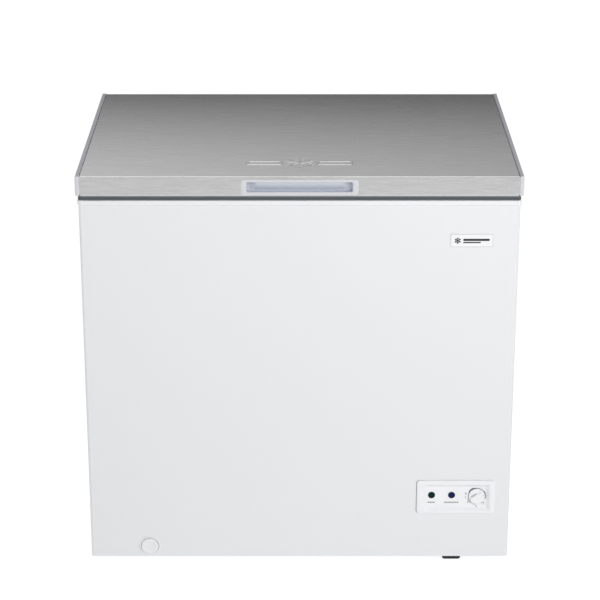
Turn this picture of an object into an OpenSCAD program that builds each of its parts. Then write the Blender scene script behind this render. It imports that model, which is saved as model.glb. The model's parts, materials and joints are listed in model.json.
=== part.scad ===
// Chest freezer with a steel lid on sprung hinges, a front drain and a front control panel.
// Origin: on the floor, under the centre of the whole freezer. -Y is the front, +X the right.

/* [Overall] */
// Width over the lid's side trims
lid_w = 900; // [800:10:1200]
// Depth from the handle's rim to the back of the hinges
overall_d = 660; // [620:10:760]
// Height from the floor to the top of the lid's side trims
overall_h = 872; // [830:5:900]

/* [Lid] */
// Height of the lid's steel edge
lid_edge_h = 40; // [32:1:45]
// Visible height of the rubber seal
gasket_h = 10.8; // [8:0.1:14]
// Width of each plastic side trim
trim_w = 10; // [8:1:14]
// Width and height of the handle's rim
handle_size = [237, 32]; // [20:1:260]
// How far the lid opens, in degrees
lid_open = 75; // [60:5:80]

/* [Cabinet] */
// Wall thickness at the sides
side_wall = 51.5; // [45:0.5:60]
// Height of the plastic rim round the mouth
rim_h = 11; // [8:0.5:14]
// Height of the feet
foot_h = 20; // [12:1:30]
// Inner width of the compressor's bay
bay_w = 219; // [200:1:240]
// Height of the compressor's bay above the base
bay_h = 240; // [225:5:260]

/* [Controls] */
// Centre of the control panel, across and up
panel_at = [331, 160.5]; // [150:1:340]
// Outer size of the control panel
panel_size = [166, 77.5]; // [60:1:180]
// Diameter of the temperature knob
knob_d = 34.7; // [28:0.1:40]

/* [Drain] */
// Centre of the front drain, across and up
drain_at = [-320, 44.5]; // [-340:0.1:60]
// Outer diameter of the drain's collar
drain_d = 47; // [40:1:48]

/* [Hidden] */
$fn = 48;

sheet_t = 1;              // painted steel sheet
front_y = -overall_d / 2; // foremost plane: handle rim and side trims
rear_y = overall_d / 2;   // hindmost plane: hinge cases
steel_front = front_y + 1.5;
lid_rear = rear_y - 22;
body_front = steel_front + 4;
body_rear = lid_rear - 6;
body_x = lid_w / 2 - 5;
body_d = body_rear - body_front;
body_mid = (body_rear + body_front) / 2;

steel_top = overall_h - 1;
edge_z = steel_top - lid_edge_h; // lower edge of the lid's steel and trims
rim_top = edge_z - gasket_h - 0.2;
body_top = rim_top - rim_h;
steel_x = lid_w / 2 - trim_w;
steel_bend_r = 3;

// inside of the storage space
cav_x = body_x - side_wall;
cav_front = body_front + 48.5;
cav_rear = body_rear - 50;
cav_mid = (cav_front + cav_rear) / 2;
cav_d = cav_rear - cav_front;
cav_floor = foot_h + 54.5;
liner_t = 1.5;
ledge_z = body_top - 15; // shelf in the liner that carries the basket
ledge_w = 8;

// compressor's bay, low at the right
bay_x1 = body_x - sheet_t;
bay_x0 = bay_x1 - bay_w;
bay_z0 = foot_h + 2;
bay_z1 = bay_z0 + bay_h;
step_x = bay_x0 - 41;
step_z = bay_z1 + 40;
comp_at = [340, 160];
comp_r = 68;

// hinges
hinge_x = 330;
axis_y = rear_y - 10;
axis_z = rim_top + 5.3;
pin_r = 3;
case_half_w = 28;
cam_r = [14, 8]; // cam radius with the lid shut and with it fully open
slider_gap = 0.8;
slider_top = axis_z - cam_r[0] - slider_gap;

foot_w = 39;
foot_corner = 6;
foot_edge = 1.5;
badge_x = 349;
badge_size = [88, 29];
basket_x = [152, 386];
basket_floor = 620;
knob_x = panel_at[0] + 45;
lens_x = [panel_at[0] - 51, panel_at[0] - 8.5];
lens_z = panel_at[1] + 2;
panel_floor_y = body_front + 6.5; // back of the panel's sunken floor

// ---- helpers ----

module round_rect(size, r) {
    square([size[0] - 2 * r, size[1]], center = true);
    square([size[0], size[1] - 2 * r], center = true);
    for (sx = [-1, 1], sy = [-1, 1])
        translate([sx * (size[0] / 2 - r), sy * (size[1] / 2 - r)]) circle(r);
}

// Box from its low and high corners.
module block(low, high) {
    translate(low) cube(high - low);
}

// Extrudes a front view towards the front, from the plane y = back.
module facing_front(x, z, back, depth) {
    translate([x, back, z]) rotate([90, 0, 0]) linear_extrude(depth) children();
}

// Upright ring or plate seen from above.
module seen_from_above(x, y, bottom, height) {
    translate([x, y, bottom]) linear_extrude(height) children();
}

// Round bar from a point along a unit direction.
module rod(from, dir, length, r) {
    up = abs(dir[2]) > 0.5 ? [1, 0, 0] : [0, 0, 1];
    side = cross(up, dir);
    top = cross(dir, side);
    multmatrix([[side[0], top[0], dir[0], from[0]],
                [side[1], top[1], dir[1], from[1]],
                [side[2], top[2], dir[2], from[2]],
                [0, 0, 0, 1]]) cylinder(h = length, r = r);
}

// Pipe of round section through points joined at right angles.
module pipe(points, r, bend) {
    last = len(points) - 1;
    for (i = [0:last - 1]) {
        gap = points[i + 1] - points[i];
        dir = gap / norm(gap);
        start = i == 0 ? 0 : bend;
        end = i == last - 1 ? 0 : bend;
        rod(points[i] + dir * start, dir, norm(gap) - start - end, r);
    }
    for (i = [1:last - 1]) {
        u = (points[i] - points[i - 1]) / norm(points[i] - points[i - 1]);
        v = (points[i + 1] - points[i]) / norm(points[i + 1] - points[i]);
        n = cross(u, v);
        c = points[i] + (v - u) * bend;
        multmatrix([[-v[0], u[0], n[0], c[0]],
                    [-v[1], u[1], n[1], c[1]],
                    [-v[2], u[2], n[2], c[2]],
                    [0, 0, 0, 1]])
            rotate_extrude(angle = 90) translate([bend, 0]) circle(r);
    }
}

// ---- cabinet ----

module cabinet_outline(inset) {
    translate([0, body_mid]) round_rect([2 * (body_x - inset), body_d - 2 * inset], 6 - inset);
}

module outer_wrapper() {
    color("white") difference() {
        union() {
            seen_from_above(0, 0, foot_h, body_top - foot_h) difference() {
                cabinet_outline(0);
                cabinet_outline(sheet_t);
                translate([-body_x, body_rear - 8]) square([2 * body_x, 10]);
            }
            for (s = [-1, 1])
                block([s * (body_x - sheet_t / 2) - sheet_t / 2, body_rear - 9, foot_h],
                      [s * (body_x - sheet_t / 2) + sheet_t / 2, body_rear, body_top]);
        }
        facing_front(panel_at[0], panel_at[1], body_front + 5, 10)
            square([panel_size[0] - 14, panel_size[1] - 13], center = true);
        rod([drain_at[0], body_front - 5, drain_at[1]], [0, 1, 0], 10, 16);
    }
}

module rear_panel() {
    color("gainsboro") difference() {
        block([-body_x + sheet_t, body_rear - sheet_t, foot_h + 1],
              [body_x - sheet_t, body_rear, body_top]);
        block([bay_x0 + 4, body_rear - 5, bay_z0 + 4], [bay_x1 - 6, body_rear + 5, bay_z1 - 4]);
    }
}

module base_pan() {
    color("silver") difference() {
        seen_from_above(0, 0, foot_h, bay_z0 - foot_h) intersection() {
            cabinet_outline(sheet_t);
            translate([-body_x, body_front]) square([2 * body_x, body_d - sheet_t]);
        }
        for (i = [0:7])
            block([bay_x0 + 30 + i * 22, -140, foot_h - 1], [bay_x0 + 38 + i * 22, 20, bay_z0 + 1]);
    }
}

module bay_partition() {
    color("silver") {
        block([bay_x0 - sheet_t, body_front + sheet_t, bay_z0], [bay_x0, body_rear - sheet_t, bay_z1]);
        block([bay_x0 - sheet_t, body_front + 6, bay_z1],
              [bay_x1, body_rear - sheet_t, bay_z1 + sheet_t]);
    }
}

// Solid that fills the storage space, grown by t on every wall.
module cavity(t) {
    block([-cav_x - t, cav_front - t, cav_floor - t], [step_x + t, cav_rear + t, ledge_z]);
    block([-cav_x - t, cav_front - t, step_z - t], [cav_x + t, cav_rear + t, ledge_z]);
    block([-cav_x - t, cav_front - ledge_w - t, ledge_z - t],
          [cav_x + t, cav_rear + ledge_w + t, body_top]);
}

module inner_liner() {
    color("whitesmoke") difference() {
        cavity(liner_t);
        union() {
            cavity(0);
            block([-cav_x, cav_front - ledge_w, ledge_z], [cav_x, cav_rear + ledge_w, body_top + 1]);
        }
        rod([drain_at[0], cav_front + 36, cav_floor - 5], [0, 0, 1], 10, 8);
    }
}

module cabinet_foam() {
    color("khaki") difference() {
        block([-body_x + sheet_t + 5, body_front + sheet_t, bay_z0],
              [body_x - sheet_t - 5, body_rear - sheet_t, body_top]);
        cavity(liner_t);
        block([bay_x0 - sheet_t, body_front - 1, bay_z0 - 1], [body_x, body_rear + 1, bay_z1 + sheet_t]);
        rod([drain_at[0], body_front, drain_at[1]], [0, 1, 0], 36, 17);
        pipe([[drain_at[0], body_front + 30, drain_at[1]], [drain_at[0], cav_front + 36, drain_at[1]],
              [drain_at[0], cav_front + 36, cav_floor]], 8.5, 14);
    }
    color("khaki") for (s = [-1, 1]) difference() {
        block([s * (body_x - 3.5) - 2.5, body_front + 6, bay_z0],
              [s * (body_x - 3.5) + 2.5, body_rear - sheet_t, body_top]);
        block([0, body_front, bay_z0 - 1], [body_x + 1, body_rear, bay_z1 + sheet_t]);
    }
}

module rim_outline(x, front, rear, r) {
    translate([0, (front + rear) / 2]) round_rect([2 * x, rear - front], r);
}

module top_rim() {
    color("white") seen_from_above(0, 0, body_top, rim_h) difference() {
        rim_outline(body_x + 2, body_front - 2, body_rear + 2, 8);
        rim_outline(cav_x, cav_front - ledge_w, cav_rear + ledge_w, 4);
    }
}

// Refrigerant pipe laid back and forth round three walls at the given heights.
module wall_serpentine(x, front, rear, heights, r, bend) {
    turns = [for (i = [0:len(heights) - 1]) let (s = i % 2 == 0 ? 1 : -1, z = heights[i])
        each [[-s * x, rear, z], [-s * x, front, z], [s * x, front, z], [s * x, rear, z]]];
    pipe(turns, r, bend);
}

module condenser_tube() {
    color("dimgray") wall_serpentine(body_x - 10, body_front + 10, body_rear - 30,
        [780, 660, 540, 420, 340], 2.4, 12);
}

module evaporator_tube() {
    color("peru") wall_serpentine(cav_x + 7, cav_front - 14, cav_rear - 20,
        [750, 650, 550, 450, 350], 4, 14);
}

module badge_plate() {
    color("gainsboro") facing_front(badge_x, body_top - 74, body_front, 1.8) round_rect(badge_size, 1.5);
}

module foot(x, y) {
    color([0.1, 0.1, 0.1]) translate([x, y, 0]) {
        linear_extrude(foot_edge)
            round_rect([foot_w - 2 * foot_edge, foot_w - 2 * foot_edge], foot_corner - foot_edge);
        translate([0, 0, foot_edge]) linear_extrude(foot_h - foot_edge)
            round_rect([foot_w, foot_w], foot_corner);
    }
}

module front_right_foot() { foot(hinge_x - 3, body_front + 43.5); }
module front_left_foot() { foot(-hinge_x + 3, body_front + 130); }
module rear_right_foot() { foot(hinge_x - 3, body_rear - 50); }
module rear_left_foot() { foot(-hinge_x + 3, body_rear - 50); }

// ---- drain ----

module drain_collar() {
    color("white") difference() {
        union() {
            rod([drain_at[0], body_front - 3, drain_at[1]], [0, 1, 0], 3, drain_d / 2);
            rod([drain_at[0], body_front, drain_at[1]], [0, 1, 0], 34, 16);
        }
        rod([drain_at[0], body_front - 4, drain_at[1]], [0, 1, 0], 34, 13);
        rod([drain_at[0], body_front - 4, drain_at[1]], [0, 1, 0], 3, 18.4);
        rod([drain_at[0], body_front + 29, drain_at[1]], [0, 1, 0], 6, 8.5);
    }
}

module drain_hose() {
    route = [[drain_at[0], body_front + 30, drain_at[1]], [drain_at[0], cav_front + 36, drain_at[1]],
             [drain_at[0], cav_front + 36, cav_floor - liner_t]];
    color("lightgray") difference() {
        pipe(route, 8.4, 14);
        pipe(route, 6.5, 14);
    }
}

module drain_knob() {
    color("white") difference() {
        union() {
            rod([drain_at[0], body_front - 4.5, drain_at[1]], [0, 1, 0], 3.2, 18);
            rod([drain_at[0], body_front - 1.3, drain_at[1]], [0, 1, 0], 29, 12.6);
        }
        rod([drain_at[0], body_front + 1, drain_at[1]], [0, 1, 0], 30, 9);
    }
}

module drain_plug() {
    color("dimgray") translate([drain_at[0], cav_front + 36, 0]) {
        translate([0, 0, cav_floor - 6]) cylinder(h = 6.3, r = 6);
        translate([0, 0, cav_floor + 0.3]) cylinder(h = 4, r1 = 14, r2 = 12);
        translate([0, 0, cav_floor + 4.3]) cylinder(h = 9, r = 4);
    }
}

// ---- controls ----

module control_bezel() {
    inner = [panel_size[0] - 22, panel_size[1] - 19.5];
    sunk_z = panel_at[1] - 1.5;
    color("white") difference() {
        union() {
            facing_front(panel_at[0], panel_at[1], body_front, 3) round_rect(panel_size, 7);
            facing_front(panel_at[0], sunk_z, panel_floor_y, panel_floor_y - body_front)
                round_rect([inner[0] + 3, inner[1] + 3], 4);
        }
        facing_front(panel_at[0], sunk_z, panel_floor_y - 2, 20) round_rect(inner, 3);
        for (x = lens_x) rod([x, body_front, lens_z], [0, 1, 0], 10, 6.7);
        rod([knob_x, body_front, panel_at[1]], [0, 1, 0], 10, 5.5);
    }
}

module control_knob() {
    color("white") difference() {
        union() {
            rod([knob_x, body_front + 1, panel_at[1]], [0, 1, 0], 2.8, knob_d / 2);
            rod([knob_x, body_front - 4.5, panel_at[1]], [0, 1, 0], 5.5, knob_d / 2 - 4);
        }
        rod([knob_x, body_front - 2, panel_at[1]], [0, 1, 0], 8, pin_r);
    }
}

module thermostat_shaft() {
    color("silver") rod([knob_x, body_front - 2, panel_at[1]], [0, 1, 0], 24, pin_r);
}

module thermostat() {
    color("dimgray") difference() {
        block([knob_x - 22, panel_floor_y + 2, panel_at[1] - 20],
              [knob_x + 22, panel_floor_y + 34, panel_at[1] + 20]);
        rod([knob_x, panel_floor_y, panel_at[1]], [0, 1, 0], 20, pin_r + 0.05);
    }
}

module sensing_tube() {
    color("peru") pipe([[knob_x, panel_floor_y + 34, panel_at[1]],
        [knob_x, panel_floor_y + 60, panel_at[1]], [bay_x0, panel_floor_y + 60, panel_at[1]]], 1.2, 8);
}

module lens(x, tint) {
    color(tint) {
        rod([x, panel_floor_y - 3.2, lens_z], [0, 1, 0], 1.2, 6);
        rod([x, panel_floor_y - 2, lens_z], [0, 1, 0], 6, 6.6);
    }
}

module green_lens() { lens(lens_x[0], "darkgreen"); }
module blue_lens() { lens(lens_x[1], "midnightblue"); }

module lamp_board() {
    color("olivedrab") {
        block([lens_x[0] - 14, panel_floor_y + 9, lens_z - 14],
              [lens_x[1] + 14, panel_floor_y + 10.6, lens_z + 14]);
        for (x = lens_x) rod([x, panel_floor_y + 5, lens_z], [0, 1, 0], 4, 2.5);
    }
}

// ---- compressor's bay ----

plate_t = 3;
grommet_h = 12;
plate_z = bay_z0;
comp_z = plate_z + plate_t + grommet_h;
bolt_offsets = [for (sx = [-1, 1], sy = [-1, 1]) [comp_at[0] + sx * 82, comp_at[1] + sy * 60]];

// Half outline of the compressor's shell, with domed ends.
module shell_profile() {
    dome_r = 40;
    square([comp_r, 110]);
    translate([0, -12]) square([comp_r - dome_r + 12, 150]);
    intersection() {
        translate([comp_r - dome_r, 110]) circle(dome_r);
        square([comp_r, 138]);
    }
    translate([comp_r, 58]) square([4, 8]);
}

module compressor() {
    color([0.12, 0.12, 0.12]) {
        translate([comp_at[0], comp_at[1], comp_z + 12]) rotate_extrude() shell_profile();
        difference() {
            seen_from_above(comp_at[0], comp_at[1], comp_z, 3) round_rect([192, 146], 14);
            for (p = bolt_offsets) rod([p[0], p[1], comp_z - 1], [0, 0, 1], 6, 6);
        }
    }
}

module compressor_plate() {
    color("silver") difference() {
        block([bay_x0 + 2, comp_at[1] - 85, plate_z], [bay_x1 - 1, comp_at[1] + 85, plate_z + plate_t]);
        for (p = bolt_offsets) rod([p[0], p[1], plate_z - 1], [0, 0, 1], 6, 3.2);
    }
}

module rubber_grommets() {
    color("dimgray") for (p = bolt_offsets) difference() {
        union() {
            translate([p[0], p[1], plate_z + plate_t]) cylinder(h = grommet_h, r = 11);
            translate([p[0], p[1], comp_z]) cylinder(h = 5, r = 5.8);
        }
        rod([p[0], p[1], plate_z], [0, 0, 1], 40, 3.2);
    }
}

module compressor_bolts() {
    color("silver") for (p = bolt_offsets) {
        translate([p[0], p[1], plate_z]) cylinder(h = grommet_h + 12, r = 3);
        translate([p[0], p[1], comp_z + 5]) cylinder(h = 1.5, r = 9);
        translate([p[0], p[1], comp_z + 6.5]) cylinder(h = 5.5, r = 6, $fn = 6);
    }
}

module relay_cover() {
    color("black") block([comp_at[0] - 32, comp_at[1] - comp_r - 34, comp_z + 40],
                         [comp_at[0] + 32, comp_at[1] - comp_r - 4.5, comp_z + 100]);
}

module suction_line() {
    color("peru") pipe([[comp_at[0] - comp_r + 1, comp_at[1] - 20, comp_z + 95],
        [bay_x0 + 22, comp_at[1] - 20, comp_z + 95], [bay_x0 + 22, comp_at[1] - 20, bay_z1 - 30],
        [bay_x0, comp_at[1] - 20, bay_z1 - 30]], 4, 14);
}

module discharge_line() {
    color("peru") pipe([[comp_at[0] + comp_r - 2.5, comp_at[1] + 20, comp_z + 95],
        [bay_x1 - 14, comp_at[1] + 20, comp_z + 95], [bay_x1 - 14, comp_at[1] + 20, bay_z1]], 3, 12);
}

module process_tube() {
    color("peru") pipe([[comp_at[0] + comp_r - 3, comp_at[1] - 30, comp_z + 40],
        [bay_x1 - 14, comp_at[1] - 30, comp_z + 40], [bay_x1 - 14, comp_at[1] - 30, comp_z + 80]], 3, 10);
}

module filter_drier() {
    color("peru") translate([bay_x0 + 20, body_rear - 40, 100]) {
        cylinder(h = 14, r1 = 3, r2 = 9);
        translate([0, 0, 14]) cylinder(h = 72, r = 9);
        translate([0, 0, 86]) cylinder(h = 14, r1 = 9, r2 = 3);
    }
}

module capillary_tube() {
    color("peru") {
        rod([bay_x0 + 20, body_rear - 40, 200], [0, 0, 1], bay_z1 - 200, 1.3);
        rod([bay_x0 + 20, body_rear - 40, bay_z0 + 20], [0, 0, 1], 80 - bay_z0, 2.2);
    }
}

cover_x = [bay_x0 - 6, bay_x1 - 1];
cover_z = [foot_h + 2, bay_z1 + 6];
gland_at = [bay_x0 + 26, 56];

module bay_cover() {
    color("lightgray") difference() {
        union() {
            block([cover_x[0], body_rear, cover_z[0]], [cover_x[1], body_rear + 1.2, cover_z[1]]);
            for (i = [0:10]) block([cover_x[0] + 44, body_rear + 1.2, 60 + i * 16],
                                   [cover_x[1] - 24, body_rear + 3.4, 64 + i * 16]);
        }
        for (i = [0:9]) block([cover_x[0] + 46, body_rear - 1, 66 + i * 16],
                              [cover_x[1] - 26, body_rear + 5, 73 + i * 16]);
        rod([gland_at[0], body_rear - 1, gland_at[1]], [0, 1, 0], 4, 7);
        for (x = [cover_x[0] + 7, cover_x[1] - 7], z = [cover_z[0] + 9, cover_z[1] - 9])
            rod([x, body_rear - 1, z], [0, 1, 0], 4, 2.3);
    }
}

module bay_cover_screws() {
    color("silver") for (x = [cover_x[0] + 7, cover_x[1] - 7], z = [cover_z[0] + 9, cover_z[1] - 9]) {
        rod([x, body_rear, z], [0, 1, 0], 1.2, 2.2);
        rod([x, body_rear + 1.2, z], [0, 1, 0], 1.8, 4.2);
    }
}

module cord_gland() {
    color("black") difference() {
        union() {
            rod([gland_at[0], body_rear - 6, gland_at[1]], [0, 1, 0], 10, 6.8);
            rod([gland_at[0], body_rear + 1.2, gland_at[1]], [0, 1, 0], 5, 10);
        }
        rod([gland_at[0], body_rear - 8, gland_at[1]], [0, 1, 0], 20, 3.75);
    }
}

// ---- hinges ----

// Channel on the cabinet's back that holds the pin, the pusher and the spring.
module hinge_case(x) {
    low = axis_z - 125;
    color("silver") translate([x, 0, 0]) difference() {
        union() {
            block([-case_half_w, body_rear, low - 10], [case_half_w, body_rear + 2, body_top - 2]);
            for (s = [-1, 1]) {
                block([s * (case_half_w - 1.5) - 1.5, body_rear + 2.2, low],
                      [s * (case_half_w - 1.5) + 1.5, rear_y - 3, axis_z]);
                rod([s * (case_half_w - 1.5) - 1.5, axis_y, axis_z], [1, 0, 0], 3, 7);
                block([s * (case_half_w - 1.5) - 1.5, body_rear + 2, low],
                      [s * (case_half_w - 1.5) + 1.5, body_rear + 2.2, body_top - 2]);
            }
            block([-case_half_w, rear_y - 3, low], [case_half_w, rear_y, axis_z - 18]);
            block([-case_half_w, body_rear, low - 3], [case_half_w, rear_y, low]);
        }
        rod([-case_half_w - 1, axis_y, axis_z], [1, 0, 0], 2 * case_half_w + 2, pin_r);
        for (sx = [-1, 1])
            rod([sx * 20, body_rear - 1, low - 6.5], [0, 1, 0], 6, 2.1);
    }
}

module left_hinge_case() { hinge_case(-hinge_x); }
module right_hinge_case() { hinge_case(hinge_x); }

module hinge_case_screws() {
    color("silver") for (s = [-1, 1], sx = [-1, 1]) {
        rod([s * hinge_x + sx * 20, body_rear, axis_z - 131.5], [0, 1, 0], 2, 2);
        rod([s * hinge_x + sx * 20, body_rear + 2, axis_z - 131.5], [0, 1, 0], 2, 3.4);
    }
}

module hinge_pins() {
    color("silver") for (s = [-1, 1])
        rod([s * hinge_x - case_half_w, axis_y, axis_z], [1, 0, 0], 2 * case_half_w, pin_r);
}

module hinge_spring(x) {
    color("gray") translate([x, axis_y - 4, axis_z - 124]) difference() {
        cylinder(h = 83, r = 9);
        translate([0, 0, -1]) cylinder(h = 85, r = 6.5);
    }
}

module left_hinge_spring() { hinge_spring(-hinge_x); }
module right_hinge_spring() { hinge_spring(hinge_x); }

// Pusher between the spring and the cam.
module hinge_slider(x) {
    color("whitesmoke") translate([x, axis_y, 0]) {
        block([-20, -10, axis_z - 40.5], [20, 6, slider_top - 5]);
        block([-5, -1, slider_top - 5], [5, 1, slider_top]);
    }
}

module left_hinge_slider() { hinge_slider(-hinge_x); }
module right_hinge_slider() { hinge_slider(hinge_x); }

// Cam whose radius falls evenly as the lid opens, seen along +X with Y to the right.
module cam_outline() {
    span = lid_open + 8;
    steps = 16;
    polygon(concat([[0, 0]], [for (i = [0:steps])
        let (a = -2 + span * i / steps,
             r = cam_r[0] - (cam_r[0] - cam_r[1]) * min(max(a, 0) / lid_open, 1))
        [r * sin(a), -r * cos(a)]]));
}

module hinge_leaf(x) {
    color("silver") translate([x, 0, 0]) difference() {
        union() {
            block([-24, lid_rear, edge_z], [24, lid_rear + 3, steel_top - 4]);
            for (s = [-1, 1]) {
                block([s * 15 - 5, lid_rear, axis_z + 0.5], [s * 15 + 5, axis_y, axis_z + 6]);
                rod([s * 15 - 5, axis_y, axis_z], [1, 0, 0], 10, 6.5);
            }
            rod([-20, axis_y, axis_z], [1, 0, 0], 40, 6);
            translate([-6, axis_y, axis_z]) rotate([90, 0, 90]) linear_extrude(12) cam_outline();
        }
        rod([-30, axis_y, axis_z], [1, 0, 0], 60, pin_r + 0.05);
        for (s = [-1, 1]) rod([s * 14, lid_rear - 1, steel_top - 12], [0, 1, 0], 5, 2.1);
    }
}

module left_hinge_leaf() { hinge_leaf(-hinge_x); }
module right_hinge_leaf() { hinge_leaf(hinge_x); }

module hinge_leaf_screws() {
    color("silver") for (s = [-1, 1], sx = [-1, 1]) {
        rod([s * hinge_x + sx * 14, lid_rear, steel_top - 12], [0, 1, 0], 3, 2);
        rod([s * hinge_x + sx * 14, lid_rear + 3, steel_top - 12], [0, 1, 0], 1.8, 3.6);
    }
}

// ---- lid ----

// Side view of the lid, shrunk by inset, with its rounded upper front edge.
module lid_section(inset, bottom) {
    r = steel_bend_r - inset;
    y0 = steel_front + inset;
    y1 = lid_rear - 3 - inset;
    top = steel_top - inset;
    translate([y0, bottom]) square([y1 - y0, top - r - bottom]);
    translate([y0 + r, bottom]) square([y1 - y0 - r, top - bottom]);
    translate([y0 + r, top - r]) circle(r);
}

// Extrudes a side view evenly to both sides of the middle.
module across(half_w) {
    rotate([90, 0, 90]) linear_extrude(2 * half_w, center = true) children();
}

handle_z = edge_z + lid_edge_h / 2 - 2;

module lid_skin() {
    color("darkgray") difference() {
        across(steel_x) difference() {
            lid_section(0, edge_z);
            lid_section(sheet_t, edge_z - 1);
        }
        facing_front(0, handle_z, steel_front + 5, 10) square([222, 25], center = true);
    }
}

module side_trim(side) {
    x = side * (lid_w - trim_w) / 2;
    color("lightgray") translate([x, lid_rear, (edge_z + overall_h) / 2]) rotate([90, 0, 0])
        linear_extrude(lid_rear - front_y) round_rect([trim_w, overall_h - edge_z], 2.5);
}

module lid_left_trim() { side_trim(-1); }
module lid_right_trim() { side_trim(1); }

module lid_rear_trim() {
    color("lightgray") block([-steel_x, lid_rear - 3, edge_z], [steel_x, lid_rear, steel_top - 1]);
}

module handle_cup() {
    color("gainsboro") difference() {
        union() {
            facing_front(0, handle_z, steel_front, 1.5) round_rect(handle_size, 5);
            facing_front(0, handle_z, steel_front + 23, 23) round_rect([220, 24.6], 4);
        }
        facing_front(0, handle_z, steel_front + 21, 30) round_rect([213, 20], 3);
    }
}

module plug(t) {
    translate([0, 0, rim_top - 3.5 + t]) linear_extrude(edge_z - rim_top + 6)
        rim_outline(cav_x - 10 - t, cav_front + 2 + t, cav_rear - 2 - t, 14 - t);
}

module lid_foam() {
    color("khaki") difference() {
        union() {
            across(steel_x) lid_section(sheet_t, edge_z + liner_t);
            plug(liner_t);
        }
        facing_front(0, handle_z, steel_front + 25, 30) square([223, 27], center = true);
        block([-112, steel_front, edge_z], [112, steel_front + 25, edge_z + 5]);
    }
}

module lid_liner() {
    color("white") difference() {
        union() {
            block([-steel_x, steel_front + sheet_t, edge_z],
                  [steel_x, lid_rear - 4, edge_z + liner_t]);
            intersection() {
                plug(0);
                block([-cav_x, cav_front, 0], [cav_x, cav_rear, edge_z]);
            }
        }
        plug(liner_t);
    }
}

module lid_gasket() {
    color("dimgray") seen_from_above(0, 0, rim_top + 0.2, gasket_h) difference() {
        rim_outline(lid_w / 2 - 4, steel_front + 2.5, lid_rear - 5, 8);
        rim_outline(lid_w / 2 - 34, steel_front + 32, lid_rear - 34, 6);
    }
}

// ---- basket ----

module storage_basket() {
    mid = (basket_x[0] + basket_x[1]) / 2;
    w = basket_x[1] - basket_x[0];
    top = ledge_z + 4;
    color("white") {
        difference() {
            seen_from_above(mid, cav_mid, basket_floor, top - basket_floor)
                round_rect([w, cav_d - 16], 20);
            seen_from_above(mid, cav_mid, basket_floor + 3, top) round_rect([w - 6, cav_d - 22], 17);
        }
        for (s = [-1, 1])
            translate([mid, cav_mid + s * (cav_d / 2 - 2), ledge_z + 2.2])
                cube([w - 60, 18, 3.6], center = true);
    }
}

outer_wrapper();
rear_panel();
base_pan();
bay_partition();
cabinet_foam();
inner_liner();
top_rim();
condenser_tube();
evaporator_tube();
badge_plate();
front_right_foot();
front_left_foot();
rear_right_foot();
rear_left_foot();
drain_collar();
drain_hose();
drain_knob();
drain_plug();
control_bezel();
control_knob();
thermostat_shaft();
thermostat();
sensing_tube();
green_lens();
blue_lens();
lamp_board();
compressor();
compressor_plate();
rubber_grommets();
compressor_bolts();
relay_cover();
suction_line();
discharge_line();
process_tube();
filter_drier();
capillary_tube();
bay_cover();
bay_cover_screws();
cord_gland();
left_hinge_case();
right_hinge_case();
hinge_case_screws();
hinge_pins();
left_hinge_spring();
right_hinge_spring();
left_hinge_slider();
right_hinge_slider();
left_hinge_leaf();
right_hinge_leaf();
hinge_leaf_screws();
lid_skin();
lid_left_trim();
lid_right_trim();
lid_rear_trim();
handle_cup();
lid_foam();
lid_liner();
lid_gasket();
storage_basket();
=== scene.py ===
"""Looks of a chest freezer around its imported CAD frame: meshes, materials, light and camera."""
import json
from math import cos, sin, pi, radians, tau

import bmesh
import bpy
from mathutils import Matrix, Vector


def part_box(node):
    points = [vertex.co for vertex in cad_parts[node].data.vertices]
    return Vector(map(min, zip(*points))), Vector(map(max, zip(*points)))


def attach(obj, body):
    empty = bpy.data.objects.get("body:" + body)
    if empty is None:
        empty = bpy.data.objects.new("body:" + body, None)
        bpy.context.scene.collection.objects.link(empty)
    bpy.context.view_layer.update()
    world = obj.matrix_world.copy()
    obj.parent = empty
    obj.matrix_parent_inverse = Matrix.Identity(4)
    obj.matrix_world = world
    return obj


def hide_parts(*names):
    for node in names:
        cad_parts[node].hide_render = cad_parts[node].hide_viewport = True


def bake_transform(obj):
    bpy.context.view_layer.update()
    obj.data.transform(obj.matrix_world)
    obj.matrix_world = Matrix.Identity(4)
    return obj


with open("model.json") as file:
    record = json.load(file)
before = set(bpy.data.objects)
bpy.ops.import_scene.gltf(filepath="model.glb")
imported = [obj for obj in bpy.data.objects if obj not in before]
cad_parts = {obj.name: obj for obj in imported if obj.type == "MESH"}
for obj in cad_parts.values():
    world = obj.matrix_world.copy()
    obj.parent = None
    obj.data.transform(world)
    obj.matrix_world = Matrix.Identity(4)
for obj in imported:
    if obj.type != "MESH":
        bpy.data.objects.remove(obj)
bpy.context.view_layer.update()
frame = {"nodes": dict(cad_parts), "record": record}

MM = 0.001
MICRON = 0.000001
LINER_THICK = 1.3            # sheet of the liner, in mm
NODES = frame["nodes"]


# ---------------------------------------------------------------- places taken from the frame

SKIN_LO, SKIN_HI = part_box("lid_skin")
RIM_LO, RIM_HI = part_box("top_rim")
LINER_LO, LINER_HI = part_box("inner_liner")
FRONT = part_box("outer_wrapper")[0].y      # plane of the cabinet's painted front
STEEL_FRONT = SKIN_LO.y                   # plane of the lid's steel front
SLOT_OF = {row["node"]: row["material_slot"] for row in frame["record"]["subparts"]}


def span(node):
    """Lowest corner, highest corner and middle of a CAD node."""
    lo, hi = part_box(node)
    return lo, hi, (lo + hi) / 2


def middle(node):
    return span(node)[2]


# ---------------------------------------------------------------- mesh helpers
# The sections and rows of the pieces below are in millimetres, and their planes in metres.

def levels_of(node, axis):
    """Distinct vertex coordinates of a CAD node along one axis, low to high."""
    return sorted({round(v.co[axis], 4) for v in NODES[node].data.vertices})


def linked(name, data):
    """New object in the scene."""
    obj = bpy.data.objects.new(name, data)
    bpy.context.scene.collection.objects.link(obj)
    return obj


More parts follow.
